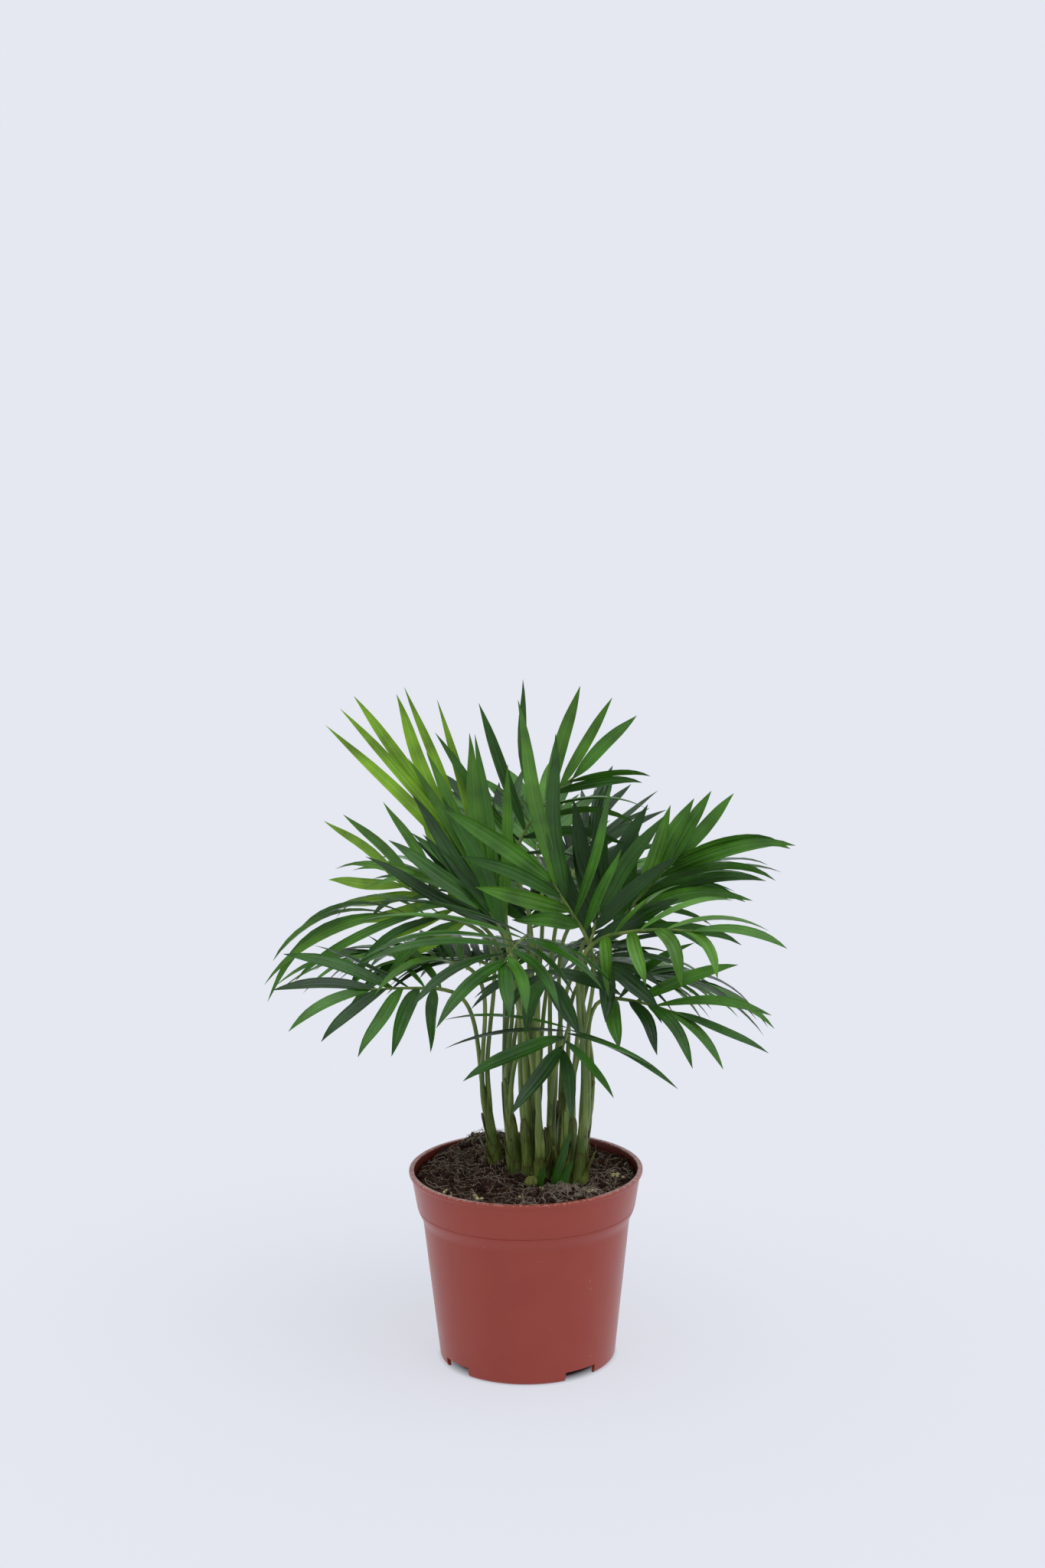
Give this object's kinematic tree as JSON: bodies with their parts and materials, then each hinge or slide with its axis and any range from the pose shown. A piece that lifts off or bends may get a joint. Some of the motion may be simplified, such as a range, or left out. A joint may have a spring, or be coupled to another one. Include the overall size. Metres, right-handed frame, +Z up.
{
  "type": "potted parlour palm",
  "caption": "Young parlour palm: a clump of sheathed canes with arching feather fronds, growing in a filled round nursery pot with a collared rim.",
  "frame": {"origin": "middle of the pot's underside, on the round boss it stands on, level with the foot ring", "axes": "+Z up along the pot's axis, -Y towards the side the picture shows, +X to its right"},
  "size_m": [0.2724, 0.2558, 0.3537],
  "materials": {
    "pot": "moulded terracotta red polypropylene, satin",
    "soil": "moist peat and coir compost, crumbly",
    "cane": "green cane in dry papery sheaths, satin",
    "leaf_mature": "dark green leaf, waxy sheen",
    "leaf_young": "bright yellow-green young leaf, waxy sheen"
  },
  "bodies": {
    "root": {"frond_a": "leaf_young", "frond_b": "leaf_young", "frond_back_11": "leaf_mature", "frond_back_12": "leaf_mature", "frond_back_13": "leaf_mature", "frond_back_14": "leaf_mature", "frond_back_15": "leaf_mature", "frond_back_16": "leaf_mature", "frond_back_21": "leaf_mature", "frond_back_22": "leaf_mature", "frond_back_23": "leaf_mature", "frond_back_24": "leaf_mature", "frond_back_31": "leaf_mature", "frond_back_32": "leaf_mature", "frond_back_33": "leaf_mature", "frond_c": "leaf_mature", "frond_d": "leaf_mature", "frond_e": "leaf_mature", "frond_f": "leaf_young", "frond_g": "leaf_mature", "frond_h": "leaf_mature", "frond_i": "leaf_mature", "frond_j": "leaf_mature", "frond_k": "leaf_mature", "frond_l": "leaf_mature", "frond_m": "leaf_young", "frond_n": "leaf_mature", "frond_o": "leaf_mature", "frond_p": "leaf_mature", "pot": "pot", "soil": "soil", "stem_01": "cane", "stem_02": "cane", "stem_03": "cane", "stem_04": "cane", "stem_05": "cane", "stem_06": "cane", "stem_07": "cane", "stem_08": "cane", "stem_09": "cane", "stem_10": "cane", "stem_11": "cane", "stem_12": "cane", "stem_13": "cane", "stem_14": "cane"}
  },
  "joints": []
}
